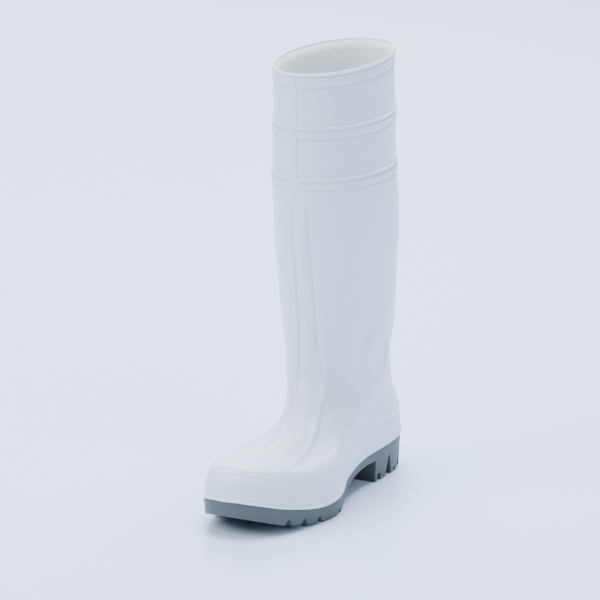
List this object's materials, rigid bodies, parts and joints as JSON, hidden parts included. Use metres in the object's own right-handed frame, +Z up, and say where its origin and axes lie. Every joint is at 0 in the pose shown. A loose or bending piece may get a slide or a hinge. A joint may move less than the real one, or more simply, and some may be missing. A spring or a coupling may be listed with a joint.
{
  "type": "safety wellington boot",
  "caption": "Knee-height moulded safety wellington boot for the left foot, with a hollow white shaft, rib bands, a toe-cap line, an inner sole and a grey lugged outsole.",
  "frame": {"origin": "On the floor under the middle of the boot's bounding box.", "axes": "+Z up, toe towards -Y, heel towards +Y, the outer side of this left boot towards +X."},
  "size_m": [0.1156, 0.3036, 0.4056],
  "materials": {
    "white_upper": "satin",
    "grey_sole": "matte",
    "lining_fabric": "matte"
  },
  "bodies": {
    "root": {"upper": "white_upper", "outsole": "grey_sole", "insole": "lining_fabric"}
  },
  "joints": []
}
